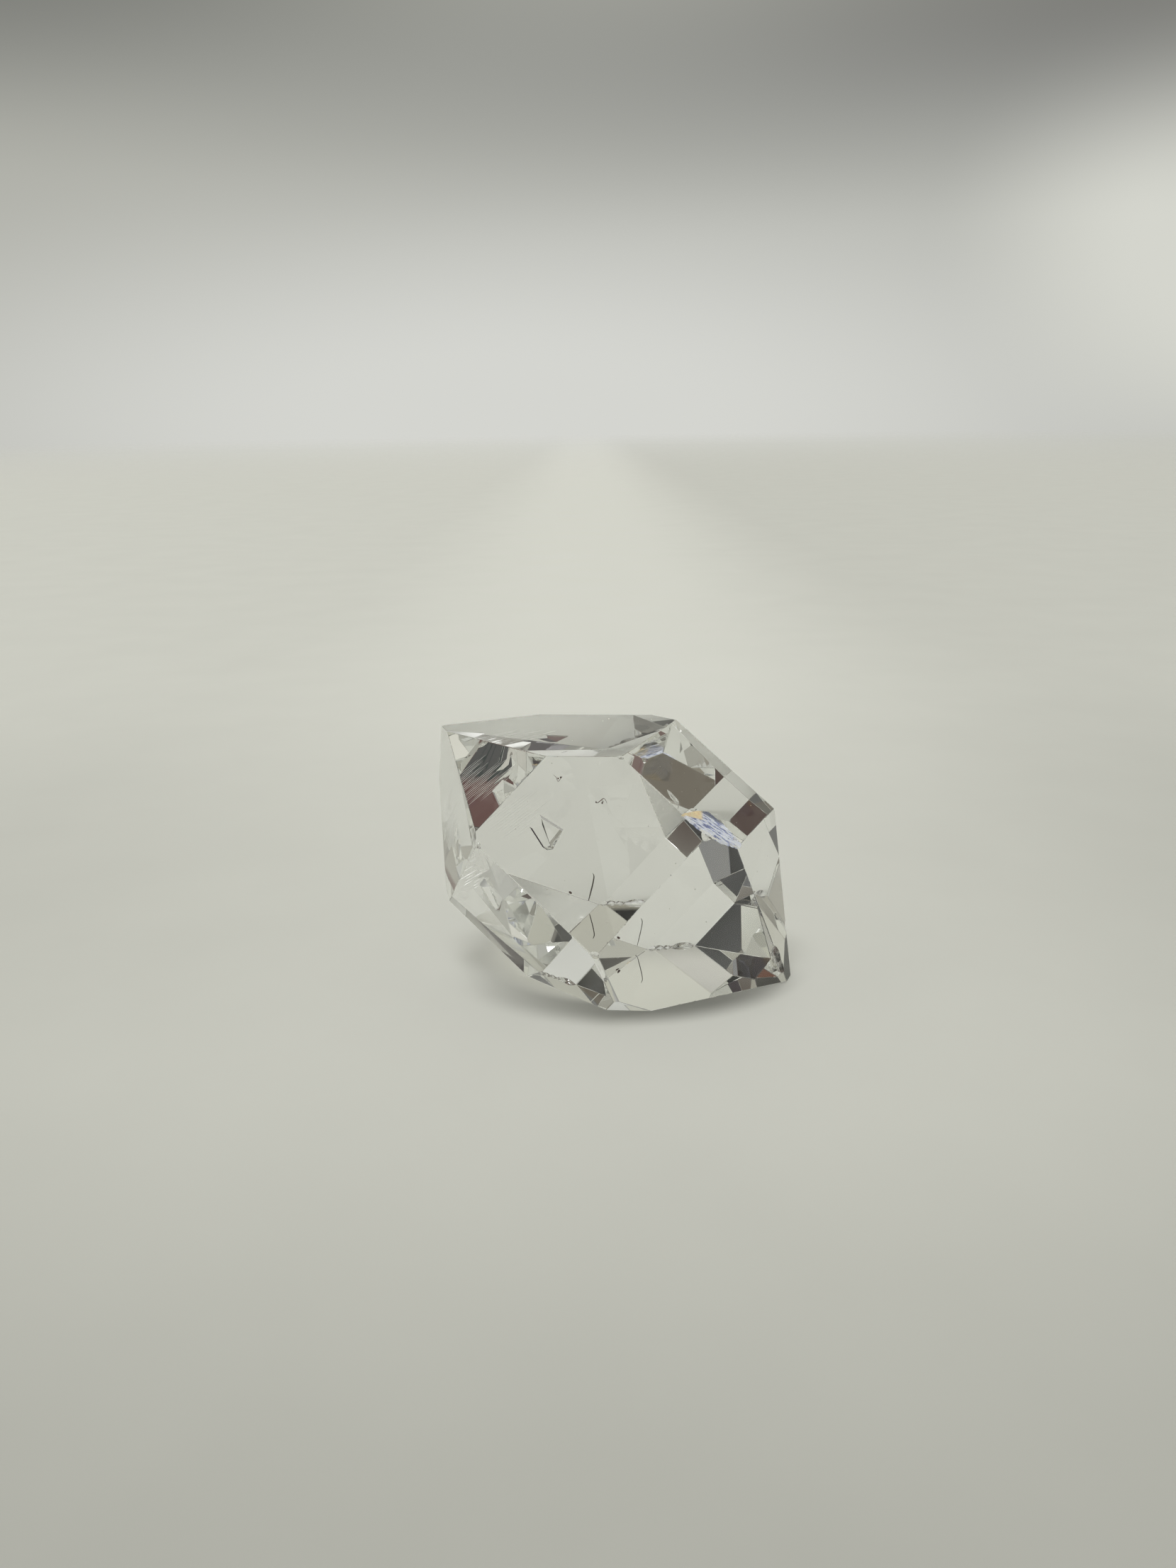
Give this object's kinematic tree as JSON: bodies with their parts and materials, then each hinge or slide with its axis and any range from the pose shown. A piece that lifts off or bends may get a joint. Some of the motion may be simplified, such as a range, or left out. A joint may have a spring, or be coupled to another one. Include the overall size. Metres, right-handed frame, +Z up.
{
  "type": "herkimer diamond quartz crystal",
  "caption": "Clear doubly terminated quartz crystal with flat prism and end faces, lying on one end face; a loose gem or specimen piece.",
  "frame": {"origin": "on the floor, under the middle of the crystal's box, with the resting face on z = 0", "axes": "+Z up from the face it lies on; +X to the right as seen from the front, along the longest extent; -Y towards the viewer of the large front prism face"},
  "size_m": [0.0124, 0.0108, 0.0083],
  "materials": {
    "clear_quartz": "water-clear natural crystal faces, glassy, with small bruises at corners and faint growth lines"
  },
  "bodies": {
    "root": {"quartz_crystal": "clear_quartz"}
  },
  "joints": []
}
